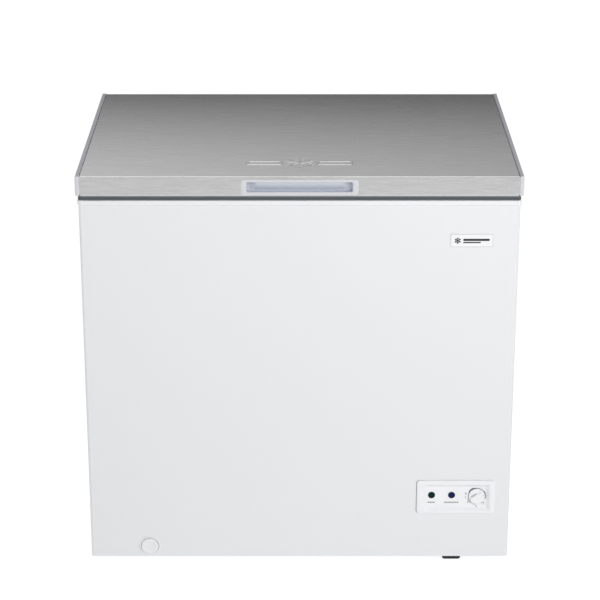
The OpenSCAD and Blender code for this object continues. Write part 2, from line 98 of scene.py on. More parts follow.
def make(name, verts, faces, finish, body, replaces=(), smooth=35):
    """A mesh object with outward normals. With a body it rides on it. finish names its material."""
    mesh = bpy.data.meshes.new(name)
    mesh.from_pydata([tuple(v) for v in verts], [], faces)
    bm = bmesh.new()
    bm.from_mesh(mesh)
    bmesh.ops.recalc_face_normals(bm, faces=bm.faces)
    bm.to_mesh(mesh)
    bm.free()
    mesh.polygons.foreach_set("use_smooth", [True] * len(mesh.polygons))
    mesh.set_sharp_from_angle(angle=radians(smooth))
    mesh.materials.append(MAT[finish])
    obj = linked(name, mesh)
    if body:
        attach(obj, body)
    if replaces:
        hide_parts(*replaces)
    return obj


def outline(half_w, half_h, r, steps=8):
    """Rounded rectangle as 2D points, with the same number of points for every size."""
    r = min(r, half_w, half_h)
    points = []
    for sx, sy, start in ((1, 1, 0), (-1, 1, 90), (-1, -1, 180), (1, -1, 270)):
        for i in range(steps + 1):
            a = radians(start + 90 * i / steps)
            points.append((sx * (half_w - r) + r * cos(a), sy * (half_h - r) + r * sin(a)))
    return points


def circle(r, steps=64):
    return [(r * cos(tau * i / steps), r * sin(tau * i / steps)) for i in range(steps)]


def facing(points, x, y, z):
    """2D points as a front view standing at depth y."""
    return [(x + u, y, z + v) for u, v in points]


def lying(points, x, y, z):
    """2D points as a plan view at height z."""
    return [(x + u, y + v, z) for u, v in points]


def sideways(points, x, y, z):
    """2D points as a side view at x."""
    return [(x, y + u, z + v) for u, v in points]


def loft(name, loops, finish, body, replaces=(), ring=False, smooth=35):
    """Skin over loops of equal length, capped at both ends, or closed on itself as a ring."""
    count = len(loops[0])
    verts = [p for loop in loops for p in loop]
    faces = []
    spans = len(loops) if ring else len(loops) - 1
    for k in range(spans):
        a, b = k * count, ((k + 1) % len(loops)) * count
        for i in range(count):
            j = (i + 1) % count
            faces.append((a + i, a + j, b + j, b + i))
    if not ring:
        faces.append(tuple(range(count)))
        faces.append(tuple(range((len(loops) - 1) * count, len(loops) * count)))
    return make(name, verts, faces, finish, body, replaces, smooth)


def merge(name, parts, body, replaces=()):
    """Joins several objects into one named piece that rides on a body."""
    bpy.ops.object.select_all(action="DESELECT")
    for part in parts:
        part.select_set(True)
    piece = parts[0]
    bpy.context.view_layer.objects.active = piece
    bpy.ops.object.join()
    piece.name = name
    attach(piece, body)
    if replaces:
        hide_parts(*replaces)


def tube(name, points, r, finish, body=None, sides=10, closed=False, flat=1.0):
    """Round bar along points, carried by frames that don't twist. flat squeezes it along Z."""
    points = [Vector(p) for p in points]
    count = len(points)
    loops = []
    normal = None
    for i, p in enumerate(points):
        before = points[i - 1] if (i > 0 or closed) else p
        after = points[(i + 1) % count] if (i < count - 1 or closed) else p
        direction = (after - before).normalized()
        if normal is None:
            seed = Vector((0, 0, 1)) if abs(direction.z) < 0.9 else Vector((1, 0, 0))
            normal = direction.cross(seed).normalized()
        normal = (normal - direction * normal.dot(direction)).normalized()
        side = direction.cross(normal)
        loop = []
        for k in range(sides):
            a = tau * k / sides
            offset = (normal * cos(a) + side * sin(a)) * r
            loop.append(p + Vector((offset.x, offset.y, offset.z * flat)))
        loops.append(loop)
    return loft(name, loops, finish, body, ring=closed, smooth=50)


def arc(cx, cy, r, start, end, steps):
    """2D points along an arc, in degrees anticlockwise."""
    turn = (end - start) / steps
    return [(cx + r * cos(radians(start + turn * i)), cy + r * sin(radians(start + turn * i)))
            for i in range(steps + 1)]


def mesh_of(bm):
    """Vertices and faces of a bmesh, which is freed."""
    bm.verts.index_update()
    verts = [v.co.copy() for v in bm.verts]
    faces = [tuple(v.index for v in f.verts) for f in bm.faces]
    bm.free()
    return verts, faces


# ---------------------------------------------------------------- materials

def srgb(r, g, b):
    """8-bit screen colour as linear RGBA."""
    def linear(c):
        c /= 255
        return c / 12.92 if c <= 0.04045 else ((c + 0.055) / 1.055) ** 2.4
    return (linear(r), linear(g), linear(b), 1.0)


def shade(color, factor):
    return tuple(min(c * factor, 1.0) for c in color[:3]) + (1.0,)


def add(tree, kind, **values):
    """A new shader node with some inputs set. An underscore in a key is a space in the name."""
    node = tree.nodes.new("ShaderNode" + kind)
    for key, value in values.items():
        node.inputs[key.replace("_", " ")].default_value = value
    return node


def two_tone(tree, low, high, start, end):
    """Ramp between two colours."""
    ramp = add(tree, "ValToRGB")
    for stop, place, color in zip(ramp.color_ramp.elements, (start, end), (low, high)):
        stop.position = place
        stop.color = color
    return ramp


def surface(name, color, roughness, metallic=0.0, coat=0.0, vary=0.03, vary_scale=3.0,
            rough_vary=0.05, bump=0, bump_scale=400.0, stretch=(1, 1, 1), spec=0.5):
    """Base material: colour and roughness drift softly, and fine noise lifts the surface by
    bump micrometres."""
    mat = bpy.data.materials.new(name)
    mat.use_nodes = True
    tree = mat.node_tree
    link = tree.links.new
    bsdf = tree.nodes["Principled BSDF"]
    bsdf.inputs["Metallic"].default_value = metallic
    bsdf.inputs["Coat Weight"].default_value = coat
    bsdf.inputs["Coat Roughness"].default_value = 0.08
    bsdf.inputs["Specular IOR Level"].default_value = spec
    place = add(tree, "Mapping", Scale=stretch)
    link(add(tree, "TexCoord").outputs["Object"], place.inputs["Vector"])
    drift = add(tree, "TexNoise", Scale=vary_scale, Detail=2.0)
    link(place.outputs["Vector"], drift.inputs["Vector"])
    ramp = two_tone(tree, shade(color, 1 - vary), shade(color, 1 + vary), 0.3, 0.7)
    link(drift.outputs["Fac"], ramp.inputs["Fac"])
    link(ramp.outputs["Color"], bsdf.inputs["Base Color"])
    fine = add(tree, "TexNoise", Scale=bump_scale, Detail=3.0)
    link(place.outputs["Vector"], fine.inputs["Vector"])
    rough = add(tree, "MapRange", To_Min=max(roughness - rough_vary, 0.02),
                To_Max=min(roughness + rough_vary, 1.0))
    link(fine.outputs["Fac"], rough.inputs["Value"])
    link(rough.outputs["Result"], bsdf.inputs["Roughness"])
    if bump:
        lift = add(tree, "Bump", Strength=1.0, Distance=bump * MICRON)
        link(fine.outputs["Fac"], lift.inputs["Height"])
        link(lift.outputs["Normal"], bsdf.inputs["Normal"])
    return mat


def brushed_steel(name, color, roughness):
    """Stainless sheet: short hairlines along X over faint, longer streaks."""
    mat = surface(name, color, roughness, metallic=1.0, vary=0.0, bump=12,
                  bump_scale=1.0, stretch=(10, 900, 900))
    tree = mat.node_tree
    link = tree.links.new
    coords = tree.nodes["Texture Coordinate"].outputs["Object"]
    tone = None
    for scale, low, high in (((22, 700, 700), 0.90, 1.06), ((9, 150, 150), 0.965, 1.02)):
        place = add(tree, "Mapping", Scale=scale)
        link(coords, place.inputs["Vector"])
        streak = add(tree, "TexNoise", Scale=1.0, Detail=3.0)
        link(place.outputs["Vector"], streak.inputs["Vector"])
        ramp = two_tone(tree, (low, low, low, 1), (high, high, high, 1), 0.32, 0.68)
        link(streak.outputs["Fac"], ramp.inputs["Fac"])
        both = add(tree, "Mix")
        both.data_type = "RGBA"
        both.blend_type = "MULTIPLY"
        both.inputs["Factor"].default_value = 1.0
        link(ramp.outputs["Color"], both.inputs["B"])
        if tone:
            link(tone, both.inputs["A"])
        else:
            both.inputs["A"].default_value = color
        tone = both.outputs["Result"]
    link(tone, tree.nodes["Principled BSDF"].inputs["Base Color"])
    return mat


def seal_rubber(name, low_color, high_color, step_z):
    """Soft seal: darker below the height step_z, lighter above it."""
    mat = surface(name, high_color, 0.55, bump=40, bump_scale=900)
    tree = mat.node_tree
    link = tree.links.new
    split = add(tree, "SeparateXYZ")
    link(tree.nodes["Texture Coordinate"].outputs["Object"], split.inputs["Vector"])
    level = add(tree, "MapRange", From_Min=step_z - 0.4 * MM, From_Max=step_z + 0.4 * MM)
    link(split.outputs["Z"], level.inputs["Value"])
    blend = add(tree, "Mix")
    blend.data_type = "RGBA"
    blend.inputs["A"].default_value = low_color
    link(tree.nodes["Color Ramp"].outputs["Color"], blend.inputs["B"])
    link(level.outputs["Result"], blend.inputs["Factor"])
    link(blend.outputs["Result"], tree.nodes["Principled BSDF"].inputs["Base Color"])
    return mat


def stucco(name, color):
    """Lacquered aluminium sheet with a pebbled emboss."""
    mat = surface(name, color, 0.32, vary=0.02, spec=0.6)
    tree = mat.node_tree
    link = tree.links.new
    cells = add(tree, "TexVoronoi", Scale=130)
    cells.feature = "SMOOTH_F1"
    link(tree.nodes["Texture Coordinate"].outputs["Object"], cells.inputs["Vector"])
    lift = add(tree, "Bump", Distance=0.0006, Strength=0.7)
    link(cells.outputs["Distance"], lift.inputs["Height"])
    link(lift.outputs["Normal"], tree.nodes["Principled BSDF"].inputs["Normal"])
    return mat


# one material for each slot, and three more for parts of a moulding: shaded copies of the pearl
# grey that paint shade on the edge strips' tops and in the grip's scoop, and a whiter panel
# moulding
MAT = {
    "lid_steel": brushed_steel("brushed_lid_steel", srgb(199, 199, 199), 0.27),
    "white_steel": surface("white_enamel", srgb(236, 237, 239), 0.34, coat=0.25, vary=0.006,
                           vary_scale=1.5, bump=10, bump_scale=160, rough_vary=0.03),
    "white_plastic": surface("white_moulding", srgb(240, 241, 243), 0.38, vary=0.008,
                             bump=12, bump_scale=700),
    "panel_plastic": surface("panel_moulding", srgb(244, 245, 247), 0.38, vary=0.006,
                             bump=12, bump_scale=700),
    "grey_plastic": surface("pearl_grey_moulding", srgb(214, 215, 219), 0.40, vary=0.012,
                            bump=10, bump_scale=900),
    # painted shade: a darker copy of the pearl grey for the tops of the lid's edge strips
    "trim_top_shade": surface("trim_top_painted_shade", srgb(192, 194, 199), 0.42, vary=0.012,
                             bump=10, bump_scale=900),
    # painted shade: a darker, bluer copy of the pearl grey for the grip's recess
    "scoop_shade_plastic": surface("grip_scoop_shade", srgb(208, 212, 221), 0.45, vary=0.012,
                             bump=10, bump_scale=900, spec=0.3),
    "zinc_steel": surface("zinc_plate", srgb(176, 179, 183), 0.38, metallic=1.0, vary=0.12,
                          vary_scale=45, bump=20, bump_scale=260, rough_vary=0.1),
    "foam": surface("cut_foam", srgb(222, 208, 150), 0.9, vary=0.08, vary_scale=60,
                    bump=500, bump_scale=700),
    "liner_metal": stucco("stucco_liner", srgb(226, 229, 232)),
    "tube_steel": surface("black_tube", srgb(36, 37, 39), 0.4, bump=20, bump_scale=300),
    "copper": surface("copper_tube", srgb(196, 120, 84), 0.32, metallic=1.0, vary=0.10,
                      vary_scale=30, bump=10, bump_scale=500),
    "badge_metal": surface("badge_silver", srgb(244, 245, 245), 0.32, vary=0.01, coat=0.3,
                           bump=6, bump_scale=800),
    "black_plastic": surface("black_moulding", srgb(26, 26, 28), 0.5, vary=0.08,
                             bump=30, bump_scale=700),
    "hose": surface("grey_hose", srgb(196, 198, 199), 0.45, bump=20),
    "rubber": surface("black_rubber", srgb(38, 38, 40), 0.7, vary=0.08, bump=30,
                      bump_scale=600),
    "green_plastic": surface("green_lens_plastic", srgb(4, 44, 38), 0.25, vary=0.05,
                             bump=4, bump_scale=900, spec=0.08),
    "blue_plastic": surface("blue_lens_plastic", srgb(26, 34, 80), 0.25, vary=0.05,
                            bump=4, bump_scale=900, spec=0.08),
    "board": surface("circuit_board", srgb(70, 100, 52), 0.5, vary=0.1, vary_scale=80,
                     bump=30, bump_scale=500),
    "black_steel": surface("black_shell_paint", srgb(24, 24, 26), 0.36, vary=0.1,
                           vary_scale=12, bump=30, bump_scale=240),
    "bright_steel": surface("bright_zinc", srgb(205, 207, 210), 0.28, metallic=1.0,
                            vary=0.05, vary_scale=80, bump=10, bump_scale=700),
    "cover_metal": surface("grey_cover_paint", srgb(196, 198, 200), 0.42, vary=0.02,
                           bump=20, bump_scale=260),
    "spring_steel": surface("spring_wire", srgb(120, 122, 126), 0.3, metallic=1.0,
                            vary=0.1, vary_scale=60, bump=10, bump_scale=800),
    "slider_plastic": surface("acetal", srgb(228, 226, 218), 0.4, vary=0.02,
                              bump=10, bump_scale=600),
    "wire": surface("white_wire_coat", srgb(240, 241, 242), 0.35, vary=0.01,
                    bump=20, bump_scale=500, coat=0.2),
    "seal_rubber": seal_rubber("seal", srgb(84, 89, 92), srgb(130, 134, 138),
                               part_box("lid_gasket")[0].z + 5.4 * MM),
    # printed ink, whose black and grey also paint shade lines along the knob's grip bar, and a dark
    # grey that paints the shade of narrow gaps and hollows
    "black_print_and_shade": surface("black_print_and_shade", srgb(34, 35, 38), 0.5, vary=0.05, bump=4,
                     bump_scale=900),
    "grey_print_and_shade": surface("grey_print_and_shade", srgb(120, 123, 128), 0.5, vary=0.05, bump=4,
                    bump_scale=900),
    "pale_print": surface("pale_print", srgb(196, 198, 201), 0.5, vary=0.03, bump=4,
                    bump_scale=900),
    "painted_gap_shade": surface("painted_gap_shade", srgb(96, 98, 102), 0.6, vary=0.05, bump=10,
                      bump_scale=700),
}


def paint_frame():
    """Each CAD node takes the procedural material of its slot."""
    for name, obj in NODES.items():
        obj.data.materials.clear()
        obj.data.materials.append(MAT[SLOT_OF[name]])


def softened(node, width, body, name):
    """New mesh with the CAD node's shape and its sharp edges rounded, wide ones more finely."""
    segments = 3 if width > MM else 2
    bm = bmesh.new()
    bm.from_mesh(NODES[node].data)
    bmesh.ops.remove_doubles(bm, verts=bm.verts, dist=0.00001)
    bmesh.ops.dissolve_limit(bm, angle_limit=radians(1), verts=bm.verts, edges=bm.edges)
    sharp = [e for e in bm.edges if len(e.link_faces) == 2 and e.calc_face_angle(0) > radians(35)]
    bmesh.ops.bevel(bm, geom=sharp, offset=width, segments=segments, profile=0.5,
                    affect="EDGES", clamp_overlap=True)
    verts, faces = mesh_of(bm)
    make(name, verts, faces, SLOT_OF[node], body, replaces=[node])


# ---------------------------------------------------------------- lid

def side_trim(side):
    """Plastic edge strip with rounded ends, a top darkened by painted shade and a filled joint at
    the steel.
    """
    name = "right" if side > 0 else "left"
    lo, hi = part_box(f"lid_{name}_trim")
    joint_w = 1.4 * MM
    if side > 0:
        lo.x += joint_w
    else:
        hi.x -= joint_w
    mid = (lo + hi) / 2
    half_w, half_h = (hi.x - lo.x) / 2, (hi.z - lo.z) / 2
    # distance from an end, and how far the section is cut back there
    ends = [(0.0, 1.6), (0.5, 0.6), (1.6, 0.0)]
    stations = [(lo.y + d * MM, cut) for d, cut in ends]
    stations += [(hi.y - d * MM, cut) for d, cut in reversed(ends)]
    loops = [facing(outline(half_w - cut * MM, half_h - (0.2 + cut) * MM, (2.4 - cut / 2) * MM),
                    mid.x, y, mid.z - 0.2 * MM) for y, cut in stations]
    loft(f"{name}_edge_strip", loops, "grey_plastic", "lid",
         replaces=[f"lid_{name}_trim"])
    # the top strip's darker plastic paints the shade that falls on the trim's top
    length = (lo.y + 1.2 * MM, hi.y - 1.2 * MM)
    loops = [facing(outline(half_w - 0.7 * MM, 0.4 * MM, 0.3 * MM), mid.x, y, hi.z - 0.4 * MM)
             for y in length]
    loft(f"{name}_top_shade_strip", loops, "trim_top_shade", "lid")
    joint_x = side * (SKIN_HI.x + joint_w / 2)
    loops = [facing(outline(joint_w / 2, half_h - 1.6 * MM, 0.3 * MM), joint_x, y, mid.z)
             for y in (lo.y + 1.4 * MM, hi.y - 1.2 * MM)]
    loft(f"{name}_joint_fill", loops, "pale_print", "lid")
    loops = [facing(outline(joint_w / 2, 0.9 * MM, 0.3 * MM), joint_x, y, hi.z - 1.5 * MM)
             for y in (lo.y + 2.4 * MM, hi.y - 1.2 * MM)]
    loft(f"{name}_edge_joint", loops, "grey_print_and_shade", "lid")


def lower_hem():
    """Pale plastic bead clipped over the lower edge of the lid's steel front."""
    thick, tall = 0.9 * MM, 2.2 * MM
    half_w = SKIN_HI.x - 0.4 * MM
    z = SKIN_LO.z + tall / 2
    loops = [sideways(outline(thick / 2, tall / 2, 0.4 * MM), x, STEEL_FRONT, z)
             for x in (-half_w, half_w)]
    loft("lower_hem", loops, "grey_plastic", "lid")


def handle():
    """Recessed grip: a raised rim round a scoop that deepens downwards to a crisp lower lip."""
    lo, hi, mid = span("handle_cup")
    w, h = (hi.x - lo.x) / 2 / MM, (hi.z - lo.z) / 2 / MM
    mouth_w, mouth_h = w - 12, 10.2
    shell_w, shell_h = 110, 12.2
    # half width, half height, corner radius, depth plane
    rows = [
        (shell_w, shell_h, 4, hi.y),
        (shell_w, shell_h, 4, STEEL_FRONT + 0.4 * MM),
        (w, h, 5, STEEL_FRONT + 0.4 * MM),
        (w, h, 5, STEEL_FRONT - 0.5 * MM),
        (w - 0.4, h - 0.4, 4.7, lo.y + 0.3 * MM),
        (w - 1.2, h - 1.2, 4.2, lo.y),
        (mouth_w + 2.4, mouth_h + 1.2, 4.4, lo.y),
        (mouth_w + 0.8, mouth_h + 0.4, 3.8, lo.y + 0.5 * MM),
        (mouth_w, mouth_h, 3.4, lo.y + 1.6 * MM),
        (mouth_w + 0.6, mouth_h + 0.4, 3.8, lo.y + 2.4 * MM),
        (shell_w - 1, shell_h - 0.6, 4, lo.y + 3.0 * MM),
        (shell_w - 1, shell_h - 0.6, 4, hi.y),
    ]
    loops = [facing(outline(a * MM, b * MM, r * MM), mid.x, y, mid.z) for a, b, r, y in rows]
    rim = loft("rim", loops, "grey_plastic", None, ring=True, smooth=50)
    # depth behind the rim's face and height, from the top edge down and under the lower lip
    profile = [(1.4, 11.0), (2.0, 9.8), (2.9, 8.0), (4.3, 5.4), (6.2, 2.4), (8.6, -0.8),
               (11.4, -4.0), (14.2, -7.0), (16.6, -9.4), (17.4, -10.6), (16.6, -11.3),
               (14, -11.5), (8, -11.5), (2.2, -11.3)]
    half, ramp, steps = mouth_w + 0.8, 24.0, 16
    end_wall, deepest, pocket_top = 5.0, 18.5, 9
    reach = [half - ramp * (i / steps) ** 1.5 for i in range(steps + 1)]
    stations = [-x for x in reach] + [half * f for f in (-0.5, 0, 0.5)] + reach[::-1]
    verts = []
    for x in stations:
        inward = half - abs(x)
        wall = min(inward / end_wall, 1.0)
        pocket = 1 - min(inward / ramp, 1.0)
        pocket = pocket * pocket * (3 - 2 * pocket)
        for depth, z in profile:
            if z < pocket_top:
                depth += max(deepest - depth, 0) * pocket
            y = lo.y + (1.6 + (depth - 1.6) * (0.04 + 0.96 * wall * (2 - wall))) * MM
            verts.append((mid.x + x * MM, y, mid.z + z * MM))
    n = len(profile)
    faces = [(i * n + k, i * n + k + 1, (i + 1) * n + k + 1, (i + 1) * n + k)
             for i in range(len(stations) - 1) for k in range(n - 1)]
    # the scoop's darker, bluer plastic paints the recess's shade
    scoop = make("scoop", verts, faces, "scoop_shade_plastic", None, smooth=60)
    merge("grip_moulding", [rim, scoop], "lid", ["handle_cup"])


def snowflake(size):
    """Strokes of a plain six-armed snow crystal, as pairs of 2D points."""
    strokes = []
    for k in range(6):
        a = radians(60 * k + 30)
        tip = (size * cos(a), size * sin(a))
        strokes.append(((0, 0), tip))
        for reach, arm in ((0.52, 0.30), (0.78, 0.20)):
            root = (reach * tip[0], reach * tip[1])
            for turn in (-55, 55):
                b = a + radians(turn)
                strokes.append((root, (root[0] + size * arm * cos(b),
                                       root[1] + size * arm * sin(b))))
    return strokes


def emblem():
    """Pressed ornament in the lid's top: a snow crystal between two open bars."""
    from_front, crystal_r, stroke_r = 95 * MM, 33 * MM, 2.9 * MM
    y = SKIN_LO.y + from_front
    strokes = snowflake(crystal_r)
    for side in (-1, 1):
        near, far, half = side * 38 * MM, side * 106 * MM, 10 * MM
        corners = [(near, half), (far, half), (far, -half), (near, -half)]
        strokes += list(zip(corners, corners[1:] + corners[:1]))
    parts = []
    for i, (a, b) in enumerate(strokes):
        points = [(a[0], y + a[1], SKIN_HI.z), (b[0], y + b[1], SKIN_HI.z)]
        parts.append(tube(f"press_{i}", points, stroke_r, "lid_steel", sides=16, flat=0.3))
    merge("pressed_ornament", parts, "lid")


def gasket():
    """Bellows seal: magnet bead below, folded bellows above, the rubber darker below the fold."""
    lo, hi, mid = span("lid_gasket")
    half_w, half_d = (hi.x - lo.x) / 2, (hi.y - lo.y) / 2
    # inset from the outer edge and height, once round the section
    section = [(2.4, 0), (0.9, 0.4), (0.1, 1.5), (0, 3.0), (0.2, 4.2), (1.0, 5.0), (2.8, 5.3),
               (2.8, 5.9), (1.4, 6.2), (0.6, 7.0), (0.5, 8.4), (0.9, 9.6), (1.8, 10.3),
               (29.5, 10.3), (29.5, 9.2), (24, 8.6), (22, 7.2), (24, 5.6), (29, 4.8),
               (29.6, 3.6), (29.6, 1.2), (28.4, 0.2), (26, 0)]
    loops = [lying(outline(half_w - a * MM, half_d - a * MM, max(8 - a, 3) * MM), mid.x,
                   mid.y, lo.z + b * MM) for a, b in section]
    loft("bellows_seal", loops, "seal_rubber", "lid", replaces=["lid_gasket"],
         ring=True)


def lid_pan():
    """Inner shell of the lid: a flange under the steel and a raised plug with soft edges."""
    lo, hi, mid = span("lid_liner")
    flange_w, flange_d = (hi.x - lo.x) / 2 / MM, (hi.y - lo.y) / 2 / MM
    plug_front, plug_rear = levels_of("lid_liner", 1)[1], levels_of("lid_liner", 1)[-2]
    plug_y = (plug_front + plug_rear) / 2
    plug_d = (plug_rear - plug_front) / 2 / MM
    plug_w = levels_of("lid_liner", 0)[-2] / MM
    deep = (hi.z - lo.z) / MM
    # inset from the plug's side and depth below the flange's top
    rows = [(0, 1.5), (0, 3.0), (0.0, deep - 4.0), (0.5, deep - 2.2), (1.6, deep - 0.8),
            (3.4, deep - 0.1), (5.0, deep), (46, deep), (47.5, deep - 0.3), (49, deep - 1.0),
            (51, deep - 1.3), (60, deep - 1.3)]
    loops = [lying(outline(flange_w * MM, flange_d * MM, 5 * MM), mid.x, mid.y, hi.z),
             lying(outline(flange_w * MM, flange_d * MM, 5 * MM), mid.x, mid.y,
                   hi.z - 1.5 * MM)]
    loops += [lying(outline((plug_w - a) * MM, (plug_d - a) * MM, (14 - 0.1 * a) * MM),
                    mid.x, plug_y, hi.z - z * MM) for a, z in rows]
    loft("lid_pan", loops, "white_plastic", "lid", replaces=["lid_liner"])


# ---------------------------------------------------------------- cabinet

def tub(x0, x1, step_x, y0, y1, floor_z, step_z, top_z, r):
    """Closed thin shell of a tub with a step at its right end, open at the top."""
    bm = bmesh.new()
    side = [(x0, floor_z), (step_x, floor_z), (step_x, step_z), (x1, step_z), (x1, top_z),
            (x0, top_z)]
    near = [bm.verts.new((x, y0, z)) for x, z in side]
    far = [bm.verts.new((x, y1, z)) for x, z in side]
    bm.faces.new(near)
    bm.faces.new(far[::-1])
    for i in range(len(side)):
        j = (i + 1) % len(side)
        bm.faces.new((near[i], far[i], far[j], near[j]))
    bmesh.ops.recalc_face_normals(bm, faces=bm.faces)
    nose = Vector((step_x, 0, step_z))
    soft = []
    for e in bm.edges:
        on_nose = all((v.co - nose).xz.length < MM for v in e.verts)
        if not on_nose and min(v.co.z for v in e.verts) < top_z - MM:
            soft.append(e)
    bmesh.ops.bevel(bm, geom=soft, offset=r, segments=5, profile=0.5, affect="EDGES")
    sharp = [e for e in bm.edges if e.calc_face_angle(0) > radians(60)
             and all((v.co - nose).xz.length < MM for v in e.verts)]
    bmesh.ops.bevel(bm, geom=sharp, offset=4 * MM, segments=3, profile=0.5, affect="EDGES")
    mouth = [f for f in bm.faces if min(v.co.z for v in f.verts) > top_z - MM]
    bmesh.ops.delete(bm, geom=mouth, context="FACES_ONLY")
    bmesh.ops.solidify(bm, geom=bm.faces[:], thickness=-LINER_THICK * MM)
    return mesh_of(bm)


def liner_shell():
    """Stucco tub with rounded corners: deep part, step over the compressor, basket ledge."""
    # the sheet has two faces, so each level comes with its underside or its outer side
    zs, xs, ys = (levels_of("inner_liner", axis) for axis in (2, 0, 1))
    floor_z, step_z, ledge_z, top_z = zs[1], zs[3], zs[5], zs[-1]
    x0, x1, step_x = xs[1], xs[-2], xs[-4]
    y0, y1 = ys[3], ys[-4]
    verts, faces = tub(x0, x1, step_x, y0, y1, floor_z, step_z, ledge_z, 16 * MM)
    deep = make("deep_tub", verts, faces, "liner_metal", None, smooth=50)
    half_w, half_d = (x1 - x0) / 2, (y1 - y0) / 2
    mid_x, mid_y = (x0 + x1) / 2, (y0 + y1) / 2
    ledge, t = (ys[-2] - ys[-4]) / MM, LINER_THICK
    # outward growth in depth, outward growth in width, height
    rows = [(-0.1, 0, ledge_z - 1.2 * MM), (0.5, 0, ledge_z - 0.3 * MM), (1.6, 0, ledge_z),
            (ledge - 2.4, 0, ledge_z), (ledge - 0.7, 0, ledge_z + 0.7 * MM),
            (ledge, 0, ledge_z + 2.4 * MM), (ledge, 0, top_z), (ledge + t, t, top_z),
            (ledge + t, t, ledge_z - t * MM), (1.2, t, ledge_z - t * MM)]
    loops = [lying(outline(half_w + wide * MM, half_d + deeper * MM, 16 * MM), mid_x, mid_y, z)
             for deeper, wide, z in rows]
    upper = loft("upper_tub", loops, "liner_metal", None, ring=True,
                 smooth=50)
    merge("liner_tub", [deep, upper], "cabinet", ["inner_liner"])
    x, y = middle("drain_plug").xy
    # radius and height above the floor
    rows = [(7, -1.0), (7, 0.2), (7.6, 0.8), (15.0, 0.5), (16.4, 0.2), (16.8, -0.6)]
    loops = [lying(circle(r * MM, 40), x, y, floor_z + z * MM) for r, z in rows]
    loft("drain_seat", loops, "white_plastic", "cabinet", ring=True)
    # painted shade: a dark disc in the drain hole
    loops = [lying(circle(7.2 * MM, 40), x, y, floor_z + z * MM) for z in (-0.5, 0.1)]
    loft("drain_mouth_shade", loops, "painted_gap_shade", "cabinet")


def mouth_rim():
    """Plastic frame round the mouth with rounded edges and a raised inner bead."""
    outer_w, outer_d = (RIM_HI.x - RIM_LO.x) / 2, (RIM_HI.y - RIM_LO.y) / 2
    outer_mid = (RIM_HI + RIM_LO) / 2
    inner_y = (LINER_LO.y + LINER_HI.y) / 2
    inner_w = (LINER_HI.x - LINER_LO.x) / 2 - 1.5 * MM
    inner_d = (LINER_HI.y - LINER_LO.y) / 2 - 1.5 * MM
    z0, z1 = RIM_LO.z, RIM_HI.z
    loops = []
    # inset from the outer edge, then growth from the inner edge, each with its height
    for inset, z in ((2.4, z0), (2.4, z0 + 0.9 * MM), (0.5, z0 + 1.1 * MM), (0, z0 + 1.8 * MM),
                     (0, z1 - 2.4 * MM), (0.5, z1 - 1.0 * MM), (1.4, z1 - 0.3 * MM),
                     (2.8, z1), (30, z1)):
        loops.append(lying(outline(outer_w - inset * MM, outer_d - inset * MM,
                                   max(8 - inset, 4) * MM), outer_mid.x, outer_mid.y, z))
    for grow, z in ((9, z1), (7.5, z1 - 0.8 * MM), (3.5, z1 - 0.8 * MM), (1.2, z1 - 1.2 * MM),
                    (0.3, z1 - 2.4 * MM), (0, z1 - 4 * MM), (0, z0)):
        loops.append(lying(outline(inner_w + grow * MM, inner_d + grow * MM,
                                   (4 + grow) * MM), outer_mid.x, inner_y, z))
    loft("mouth_frame", loops, "white_plastic", "cabinet", replaces=["top_rim"],
         ring=True)


def bar_mark(name, x0, x1, z, height, y, ink, body):
    """Thin printed bar with round ends on a front face."""
    half_w, half_h = (x1 - x0) / 2, height / 2
    loops = [facing(outline(half_w, half_h, half_h), (x0 + x1) / 2, y + d, z)
             for d in (0.1 * MM, -0.12 * MM)]
    return loft(name, loops, ink, body)


def strokes_on_front(name, strokes, x, y, z, r, ink, body):
    """Flat round strokes drawn on a front face."""
    parts = []
    for i, (a, b) in enumerate(strokes):
        points = [(x + a[0], y, z + a[1]), (x + b[0], y, z + b[1])]
        parts.append(tube(f"{name}_{i}", points, r, ink, None, sides=8))
    merge(name, parts, body)


def badge():
    """Small plate with a raised edge and a generic mark: a snow crystal and two bars."""
    lo, hi, mid = span("badge_plate")
    w, h = (hi.x - lo.x) / 2, (hi.z - lo.z) / 2
    # half width, half height, corner radius, depth plane
    rows = [(w, h, 1.6, hi.y), (w, h, 1.6, lo.y + 0.6 * MM),
            (w - 0.2 * MM, h - 0.2 * MM, 1.5, lo.y + 0.2 * MM),
            (w - 0.7 * MM, h - 0.7 * MM, 1.2, lo.y),
            (w - 2.0 * MM, h - 2.0 * MM, 1.0, lo.y),
            (w - 2.4 * MM, h - 2.4 * MM, 0.8, lo.y + 0.35 * MM)]
    loops = [facing(outline(a, b, r * MM), mid.x, y, mid.z) for a, b, r, y in rows]
    loft("badge", loops, "badge_metal", "cabinet", replaces=["badge_plate"])
    frame_line = [facing(outline(w - a * MM, h - a * MM, 1.0 * MM), mid.x, lo.y + d * MM, mid.z)
                  for a, d in ((0.9, 0.3), (0.9, -0.03), (1.9, -0.03), (1.9, 0.3))]
    loft("badge_frame_line", frame_line, "pale_print", "cabinet", ring=True)
    face = lo.y + 0.3 * MM
    strokes_on_front("badge_crystal", snowflake(6.6 * MM), mid.x - 29 * MM, face, mid.z,
                     0.75 * MM, "black_print_and_shade", "cabinet")
    bar_mark("badge_bar", mid.x - 18 * MM, mid.x + 36 * MM, mid.z + 1.7 * MM, 4.6 * MM, face,
             "black_print_and_shade", "cabinet")
    bar_mark("badge_thin_bar", mid.x - 18 * MM, mid.x + 18 * MM, mid.z - 3.9 * MM, 2.6 * MM,
             face, "black_print_and_shade", "cabinet")


